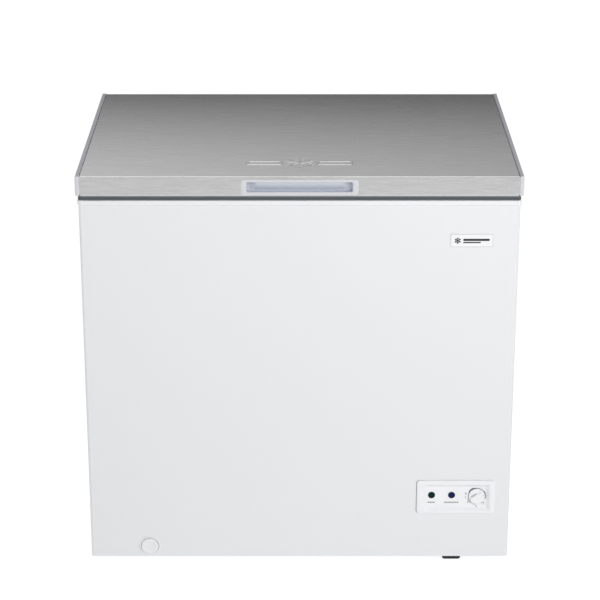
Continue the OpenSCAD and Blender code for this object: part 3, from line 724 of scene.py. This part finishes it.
def control_panel():
    """Bezel with a sunken floor, gentle slopes round it and a steeper one at the right."""
    lo, hi, mid = span("control_bezel")
    w, h = (hi.x - lo.x) / 2 / MM, (hi.z - lo.z) / 2 / MM
    floor_y = hi.y - 2 * MM
    sunk = mid.z - 2 * MM
    # half width, half height, corner radius, shift right, centre height, depth plane
    rows = [
        (w - 7.5, h - 7, 4, 0, mid.z, hi.y),
        (w - 7.5, h - 7, 4, 0, mid.z, FRONT + 0.2 * MM),
        (w, h, 7, 0, mid.z, FRONT + 0.2 * MM),
        (w, h, 7, 0, mid.z, lo.y + 1.8 * MM),
        (w - 0.5, h - 0.5, 6.6, 0, mid.z, lo.y + 0.7 * MM),
        (w - 1.8, h - 1.8, 6, 0, mid.z, lo.y),
        (w - 10.4, h - 7.6, 4.6, 0, sunk, lo.y),
        (w - 11.4, h - 8.4, 4.2, 0.1, sunk, lo.y + 0.35 * MM),
        (w - 12.2, h - 9.2, 4, 0.2, sunk, lo.y + 1.2 * MM),
        (w - 18.4, h - 11.6, 3.6, 1.6, sunk, floor_y - 1.6 * MM),
        (w - 19.6, h - 12.2, 3.4, 2.2, sunk, floor_y - 0.5 * MM),
        (w - 21.0, h - 13.4, 3.0, 2.4, sunk, floor_y),
    ]
    loops = [facing(outline(a * MM, b * MM, r * MM), mid.x + dx * MM, y, z)
             for a, b, r, dx, z, y in rows]
    loft("control_panel", loops, "panel_plastic", "cabinet",
         ["control_bezel"], smooth=50)
    # painted shadow: a dark ring round the bezel, shifted left so that it shows along the left edge
    gap = [facing(outline((w - cut) * MM, (h - 0.3 - cut) * MM, 7 * MM), mid.x - 0.7 * MM, y,
                  mid.z + 0.15 * MM)
           for cut, y in ((-0.4, FRONT + 0.3 * MM), (-0.4, FRONT - 0.15 * MM),
                          (2.0, FRONT - 0.15 * MM), (2.0, FRONT + 0.3 * MM))]
    loft("panel_shadow_line", gap, "painted_gap_shade", "cabinet", ring=True)
    for name, finish in (("green_lens", "green_plastic"), ("blue_lens", "blue_plastic")):
        lens(name, finish, floor_y)
    label_z = middle("green_lens").z - 17 * MM
    face = floor_y - 0.02 * MM
    for name, width, pieces in (("green_lens", 16, 4), ("blue_lens", 31, 8)):
        x = middle(name).x
        step = width * MM / pieces
        marks = [bar_mark(f"{name}_m{i}", x - width * MM / 2 + i * step,
                          x - width * MM / 2 + (i + 0.8) * step, label_z, 3.0 * MM,
                          face, "grey_print_and_shade", None) for i in range(pieces)]
        merge(f"{name}_label", marks, "cabinet")
    dial(floor_y)


def lens(name, finish, floor_y):
    """Domed lamp lens that stands out of the panel's floor."""
    lo, hi, mid = span(name)
    # radius, depth plane
    rows = [(6.6, hi.y), (6.6, floor_y - 0.1 * MM), (7.5, floor_y - 0.1 * MM),
            (7.5, floor_y - 0.6 * MM), (7.2, floor_y - 0.9 * MM), (6.2, lo.y + 0.45 * MM),
            (4.6, lo.y + 0.18 * MM), (2.6, lo.y + 0.05 * MM), (0.6, lo.y)]
    loops = [facing(circle(r * MM), mid.x, y, mid.z) for r, y in rows]
    loft(f"{name}_dome", loops, finish, "cabinet", replaces=[name])


def digit(text, x, y, z, size):
    """A dial number as a thin raised mesh."""
    curve = bpy.data.curves.new(f"dial_{text}", "FONT")
    curve.body = text
    curve.size = size
    curve.align_x = "CENTER"
    curve.align_y = "CENTER"
    curve.extrude = 0.05 * MM
    curve.offset = 0.12 * MM
    obj = linked(f"dial_{text}", curve)
    obj.location = (x, y, z)
    obj.rotation_euler = (pi / 2, 0, 0)
    bpy.context.view_layer.update()
    mesh = bpy.data.meshes.new_from_object(obj.evaluated_get(
        bpy.context.evaluated_depsgraph_get()))
    mesh.transform(obj.matrix_world)
    mesh.materials.clear()
    mesh.materials.append(MAT["grey_print_and_shade"])
    bpy.data.objects.remove(obj)
    return linked(f"dial_{text}", mesh)


def printed(name, path, y, ink):
    """Thin print on the panel's floor, or a line of painted shade, with a closed path as its
    outline.
    """
    loops = [[(u, y + d, v) for u, v in path] for d in (0.1 * MM, -0.1 * MM)]
    loft(name, loops, ink, "cabinet")


def dial(floor_y):
    """Printed scale round the knob: a swelling crescent, arcs and a few numbers, with painted shade
    as a dark arc at the knob's right edge and a dark ring round its foot.
    """
    x, z = middle("thermostat_shaft").xz
    face = floor_y - 0.02 * MM
    inner, start, end, steps = 18.4 * MM, 95, 160, 24
    swell = []
    for i in range(steps + 1):
        t = i / steps
        a = radians(start + (end - start) * t)
        r = inner + (0.3 + 2.0 * sin(pi * t)) * MM
        swell.append((x + r * cos(a), z + r * sin(a)))
    printed("dial_crescent", arc(x, z, inner, start, end, steps) + swell[::-1], face,
            "grey_print_and_shade")
    line_w = 1.1
    # the last line is no print: it paints the shade along the knob's right edge
    for name, r, first, last, steps, ink in (("dial_arc_low", 19.8, 196, 238, 10, "grey_print_and_shade"),
                                             ("dial_arc_lower", 19.6, 246, 262, 10, "grey_print_and_shade"),
                                             ("dial_arc_right", 19.4, 300, 318, 10, "grey_print_and_shade"),
                                             ("dial_rim_shadow", 18.2, -22, 36, 12, "painted_gap_shade")):
        path = arc(x, z, r * MM, first, last, steps)
        path += arc(x, z, (r + line_w) * MM, last, first, steps)
        printed(name, path, face, ink)
    reach, size = 24 * MM, 6.5 * MM
    marks = [digit(text, x + reach * cos(radians(a)), face, z + reach * sin(radians(a)), size)
             for text, a in (("0", 168), ("1", 188), ("3", 218), ("5", 268), ("7", 310))]
    merge("dial_numbers", marks, "cabinet")
    # painted shade: a dark ring round the knob's foot
    rows = [(18.3, face + 0.1 * MM), (18.3, face - 0.15 * MM), (16.2, face - 0.15 * MM)]
    loops = [facing(circle(r * MM), x, y, z) for r, y in rows]
    loft("knob_shade_ring", loops, "painted_gap_shade", "cabinet")


def knob():
    """Round skirt with a broad grip bar across it, turned up to the right, with painted shade as
    darker lines along the bar's two feet.
    """
    lo, hi, mid = span("control_knob")
    r = (hi.x - lo.x) / 2
    skirt_front = FRONT + 1.0 * MM
    # radius, depth plane
    rows = [(r - 0.8 * MM, hi.y), (r, hi.y - 0.5 * MM), (r, skirt_front + 1.0 * MM),
            (r - 0.35 * MM, skirt_front + 0.35 * MM), (r - 1.2 * MM, skirt_front),
            (r - 3.0 * MM, skirt_front + 0.3 * MM), (r - 8 * MM, skirt_front + 0.8 * MM)]
    skirt = loft("skirt", [facing(circle(a), mid.x, y, mid.z) for a, y in rows],
                 "panel_plastic", None)
    turn = radians(35)

    def turned(points, y, along=0.0, across=0.0):
        return [(mid.x + (u + along) * cos(turn) - (v + across) * sin(turn), y,
                 mid.z + (u + along) * sin(turn) + (v + across) * cos(turn))
                for u, v in points]

    half_l, half_w = r - 1.4 * MM, 5.0 * MM
    # cut from the half length, added to the half width, depth plane
    rows = [(0, 1.0, skirt_front + 1.0 * MM), (0, 0.3, skirt_front - 0.5 * MM),
            (0.5, 0.0, lo.y + 2.2 * MM), (1.0, -0.3, lo.y + 0.9 * MM),
            (1.8, -1.0, lo.y + 0.2 * MM), (2.8, -2.0, lo.y)]
    grip = loft("grip", [turned(outline(half_l - a * MM, half_w + b * MM, 4.0 * MM), y)
                         for a, b, y in rows], "panel_plastic", None)
    merge("temperature_knob", [skirt, grip], "knob", ["control_knob"])
    # painted shade: a dark line along the bar's lower foot and a grey one along its upper foot
    for name, along, across, half, ink in (("knob_bar_shadow", 4.5, -5.9, 9.5, "black_print_and_shade"),
                                           ("knob_bar_edge_shade", -4.0, 5.9, 7.0, "grey_print_and_shade")):
        line = outline(half * MM, 0.5 * MM, 0.45 * MM)
        loops = [turned(line, y, along * MM, across * MM)
                 for y in (skirt_front + 1.0 * MM, skirt_front - 0.15 * MM)]
        loft(name, loops, ink, "knob")


def drain():
    """Low collar with a sloped inner side, round a pull knob with a dished face."""
    lo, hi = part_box("drain_collar")
    x, z = middle("drain_collar").xz
    r = (hi.x - lo.x) / 2
    # radius, depth plane
    rows = [(16, hi.y), (16, FRONT + 0.2 * MM), (r / MM, FRONT + 0.2 * MM),
            (r / MM, FRONT - 0.1 * MM), (r / MM - 0.8, FRONT - 0.8 * MM),
            (r / MM - 1.6, FRONT - 1.5 * MM), (r / MM - 2.4, FRONT - 1.8 * MM),
            (20.5, FRONT - 1.6 * MM), (19.4, FRONT - 0.9 * MM), (18.5, FRONT),
            (18.4, FRONT + 0.9 * MM), (13, FRONT + 0.9 * MM), (13, hi.y - 4 * MM),
            (8.6, hi.y - 4 * MM), (8.6, hi.y)]
    loops = [facing(circle(a * MM), x, y, z) for a, y in rows]
    loft("drain_flange", loops, "white_plastic", "cabinet",
         replaces=["drain_collar"], ring=True)
    lo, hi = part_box("drain_knob")
    rows = [(9, hi.y), (12.6, hi.y), (12.6, lo.y + 3.2 * MM), (18, lo.y + 3.2 * MM),
            (18, lo.y + 1.4 * MM), (17.5, lo.y + 0.6 * MM), (16.4, lo.y + 0.2 * MM),
            (14.6, lo.y), (13.0, lo.y), (12.0, lo.y + 0.3 * MM), (9.6, lo.y + 1.5 * MM),
            (8.6, lo.y + 1.8 * MM), (0.6, lo.y + 1.8 * MM), (0.6, lo.y + 4 * MM),
            (9, lo.y + 5 * MM)]
    loops = [facing(circle(a * MM), x, y, z) for a, y in rows]
    loft("drain_pull_knob", loops, "white_plastic", "drain_pull",
         replaces=["drain_knob"], ring=True)


def foot(node):
    """Square moulded foot: a rounded sole and side grooves."""
    lo, hi, mid = span(node)
    half, corner = (hi.x - lo.x) / 2 / MM, 6
    # cut back from each side, height
    rows = [(2.0, 0), (0.9, 0.3), (0.25, 1.0), (0, 2.0), (0, 5.6), (0.8, 6.0), (0.8, 7.6), (0, 8.0),
            (0, 11.6), (0.8, 12.0), (0.8, 13.6), (0, 14.0), (0, (hi.z - lo.z) / MM)]
    loops = [lying(outline((half - cut) * MM, (half - cut) * MM, (corner - cut) * MM), mid.x,
                   mid.y, lo.z + height * MM) for cut, height in rows]
    loft(f"{node}_moulding", loops, "black_plastic", "cabinet", replaces=[node])


# ---------------------------------------------------------------- basket

def wire_basket():
    """Coated wire basket: two rim wires, close-set U wires both ways and hanging tabs."""
    lo, hi, mid = span("storage_basket")
    shelf_z = LINER_HI.z - 15 * MM
    wall_d = (hi.y - lo.y) / 2 - 6.2 * MM
    half_w = (hi.x - lo.x) / 2 - 3 * MM
    top, base = shelf_z + 2.4 * MM, lo.z + 4.5 * MM
    thin, thick = 1.3 * MM, 2.6 * MM
    parts = []

    def wire(points, r, closed=False):
        parts.append(tube(f"wire_{len(parts)}", points, r, "wire", sides=8, closed=closed))

    def u_shape(half, at, along_x, bend=16 * MM):
        corner = arc(half - bend, base + bend, bend, 0, -90, 6)
        side = [(half, top)] + corner
        path = side + [(-u, v) for u, v in reversed(side)]
        if along_x:
            return [(mid.x + u, at, v) for u, v in path]
        return [(at, mid.y + u, v) for u, v in path]

    for level, r in ((top, thick), (top - 42 * MM, thin * 1.2)):
        ring = outline(half_w, wall_d, 18 * MM, steps=6)
        wire([(mid.x + u, mid.y + v, level) for u, v in ring], r, closed=True)
    for half, count, middle_at, reach, along_x in (
            (half_w - thin, 20, mid.y, wall_d - 20 * MM, True),
            (wall_d - thin, 9, mid.x, half_w - 20 * MM, False)):
        for i in range(count):
            at = middle_at - reach + 2 * reach * i / (count - 1)
            wire(u_shape(half, at, along_x), thin)
    for side in (-1, 1):
        edge = mid.y + side * ((hi.y - lo.y) / 2 - thick)
        inner = mid.y + side * wall_d
        for sx in (-1, 1):
            reach = half_w - 34 * MM
            wire([(mid.x + sx * reach, inner, top), (mid.x + sx * reach, edge, top)], thick)
        wire([(mid.x - half_w + 30 * MM, edge, top), (mid.x + half_w - 30 * MM, edge, top)],
             thick)
    merge("wire_basket", parts, "basket", ["storage_basket"])


# ---------------------------------------------------------------- hinges

def coil_spring(side):
    """Compression spring between the case and the slider."""
    node = f"{side}_hinge_spring"
    lo, hi, mid = span(node)
    wire_r = 1.2 * MM
    r = (hi.x - lo.x) / 2 - wire_r
    turns, per_turn = 11, 20
    bottom, top = lo.z + wire_r, hi.z - wire_r
    points = []
    for i in range(turns * per_turn + 1):
        t = i / (turns * per_turn)
        a = tau * turns * t
        points.append((mid.x + r * cos(a), mid.y + r * sin(a), bottom + (top - bottom) * t))
    spring = tube(f"{side}_coil", points, wire_r, "spring_steel", sides=8)
    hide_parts(node)
    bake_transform(spring)


# ---------------------------------------------------------------- stage

# glow of the world at the horizon and straight above
HORIZON, OVERHEAD = 1.0, 0.25
# reflection card: heights between which it turns light, its two levels, and its fall to the right
CARD_DARK_Z, CARD_LIGHT_Z = 1.0, 1.34
CARD_DARK, CARD_LIGHT, CARD_LEAN = 0.02, 0.86, 0.27
# floor: its own tone, then its glow to the camera, to reflections and to soft light
FLOOR_TONE = 0.45
FLOOR_GLOW, FLOOR_SHEEN, FLOOR_BOUNCE = 0.85, 0.70, 0.44
# camera: place, degrees below the horizon, and focal length in mm
CAMERA_PLACE = (0.001, -4.325, 2.1134)
CAMERA_DIP = 20.643
CAMERA_LENS = 125.45


def light_world():
    """White to the camera. To the surfaces it is bright low down and dim overhead."""
    world = bpy.data.worlds.new("studio")
    bpy.context.scene.world = world
    world.use_nodes = True
    tree = world.node_tree
    link = tree.links.new
    seen = tree.nodes["Background"]
    seen.inputs["Color"].default_value = (1, 1, 1, 1)
    seen.inputs["Strength"].default_value = 1.0
    split = add(tree, "SeparateXYZ")
    link(add(tree, "TexCoord").outputs["Generated"], split.inputs["Vector"])
    ramp = two_tone(tree, (1, 1, 1, 1), (OVERHEAD, OVERHEAD, OVERHEAD, 1), 0.0, 0.8)
    ramp.color_ramp.interpolation = "EASE"
    link(split.outputs["Z"], ramp.inputs["Fac"])
    glow = add(tree, "Background", Strength=HORIZON)
    link(ramp.outputs["Color"], glow.inputs["Color"])
    mix = add(tree, "MixShader")
    link(add(tree, "LightPath").outputs["Is Camera Ray"], mix.inputs["Fac"])
    link(glow.outputs["Background"], mix.inputs[1])
    link(seen.outputs["Background"], mix.inputs[2])
    link(mix.outputs["Shader"], tree.nodes["World Output"].inputs["Surface"])


def sheet(name, corners, material):
    """One flat face that belongs to the studio."""
    mesh = bpy.data.meshes.new(name)
    mesh.from_pydata(corners, [], [tuple(range(len(corners)))])
    mesh.materials.append(material)
    obj = linked(name, mesh)
    return obj


def graded_card():
    """Screen behind the freezer that only reflections see: dark low down, lighter above."""
    mat = bpy.data.materials.new("graded_card")
    mat.use_nodes = True
    tree = mat.node_tree
    link = tree.links.new
    tree.nodes.remove(tree.nodes["Principled BSDF"])
    split = add(tree, "SeparateXYZ")
    link(add(tree, "TexCoord").outputs["Object"], split.inputs["Vector"])
    rise = add(tree, "MapRange", From_Min=CARD_DARK_Z, From_Max=CARD_LIGHT_Z,
               To_Min=CARD_DARK, To_Max=CARD_LIGHT)
    rise.interpolation_type = "SMOOTHSTEP"
    link(split.outputs["Z"], rise.inputs["Value"])
    lean = add(tree, "MapRange", From_Min=-1.0, From_Max=1.0,
               To_Min=1 + CARD_LEAN, To_Max=1 - CARD_LEAN)
    link(split.outputs["X"], lean.inputs["Value"])
    strength = add(tree, "Math")
    strength.operation = "MULTIPLY"
    link(rise.outputs["Result"], strength.inputs[0])
    link(lean.outputs["Result"], strength.inputs[1])
    glow = add(tree, "Emission")
    link(strength.outputs["Value"], glow.inputs["Strength"])
    link(glow.outputs["Emission"], tree.nodes["Material Output"].inputs["Surface"])
    y, half_w, low, high = 0.95, 2.5, 0.4, 2.4
    card = sheet("graded_card", [(-half_w, y, low), (half_w, y, low), (half_w, y, high),
                                 (-half_w, y, high)], mat)
    card.visible_camera = False
    card.visible_diffuse = False
    card.visible_shadow = False


def floor():
    """Pale floor that glows, so that shadows stay faint, most of all to the camera."""
    mat = surface("pale_floor", (FLOOR_TONE, FLOOR_TONE, FLOOR_TONE, 1), 0.9, vary=0.003,
                  spec=0.0)
    tree = mat.node_tree
    seen = add(tree, "LightPath")
    direct = add(tree, "Math")
    glow = add(tree, "Math")
    for step, ray, level in ((direct, "Is Camera Ray", FLOOR_GLOW),
                             (glow, "Is Glossy Ray", FLOOR_SHEEN)):
        step.operation = "MULTIPLY_ADD"
        tree.links.new(seen.outputs[ray], step.inputs[0])
        step.inputs[1].default_value = level - FLOOR_BOUNCE
    direct.inputs[2].default_value = FLOOR_BOUNCE
    tree.links.new(direct.outputs["Value"], glow.inputs[2])
    shader = tree.nodes["Principled BSDF"]
    shader.inputs["Emission Color"].default_value = (1, 1, 1, 1)
    tree.links.new(glow.outputs["Value"], shader.inputs["Emission Strength"])
    sheet("floor", [(u, v, 0) for u, v in circle(30)], mat)


def softbox(name, place, aim, size, energy):
    """Rectangular area light at a place, turned to a point."""
    lamp = bpy.data.lights.new(name, "AREA")
    lamp.shape = "RECTANGLE"
    lamp.size, lamp.size_y = size
    lamp.energy = energy
    box = linked(name, lamp)
    box.location = place
    box.rotation_euler = (Vector(aim) - box.location).to_track_quat("-Z", "Y").to_euler()
    return box


def studio():
    """Pale floor, soft light and the camera."""
    scene = bpy.context.scene
    scene.view_settings.view_transform = "Standard"
    light_world()
    graded_card()
    floor()
    key = softbox("key", (1.1, -2.9, 2.2), (0.1, -0.3, 0.6), (1.2, 1.2), 40)
    key.visible_glossy = False
    strip = softbox("overhead_strip", (0, -0.7, 3.0), (0, -0.7, 0), (3.4, 2.4), 46)
    strip.visible_diffuse = False
    data = bpy.data.cameras.new("camera")
    data.lens = CAMERA_LENS
    data.sensor_width = 36
    camera = linked("camera", data)
    camera.location = CAMERA_PLACE
    camera.rotation_euler = (radians(90 - CAMERA_DIP), 0, 0)
    scene.camera = camera


# ---------------------------------------------------------------- the whole freezer

paint_frame()
studio()
for trim_side in (-1, 1):
    side_trim(trim_side)
lower_hem()
handle()
emblem()
gasket()
lid_pan()
liner_shell()
mouth_rim()
badge()
control_panel()
knob()
drain()
for foot_node in ("front_right_foot", "front_left_foot", "rear_right_foot", "rear_left_foot"):
    foot(foot_node)
wire_basket()
for hinge_side in ("left", "right"):
    coil_spring(hinge_side)
    softened(f"{hinge_side}_hinge_case", 0.8 * MM, "cabinet", f"{hinge_side}_folded_case")
    softened(f"{hinge_side}_hinge_leaf", 0.8 * MM, "lid", f"{hinge_side}_folded_leaf")
    softened(f"{hinge_side}_hinge_slider", 0.8 * MM, f"{hinge_side}_slider",
             f"{hinge_side}_cam_follower")
for cad_node, edge_mm, on_body, piece_name in (
        ("lid_rear_trim", 0.7, "lid", "rear_edge_strip"),
        ("bay_cover", 0.4, "cabinet", "louvred_cover"),
        ("bay_cover_screws", 0.6, "cabinet", "cover_screw_heads"),
        ("hinge_leaf_screws", 0.6, "lid", "leaf_screw_heads"),
        ("hinge_case_screws", 0.6, "cabinet", "case_screw_heads"),
        ("cord_gland", 0.6, "cabinet", "moulded_gland"),
        ("relay_cover", 2.0, "cabinet", "relay_housing"),
        ("compressor_plate", 0.4, "cabinet", "folded_plate"),
        ("drain_plug", 0.6, "floor_plug", "moulded_plug")):
    softened(cad_node, edge_mm * MM, on_body, piece_name)
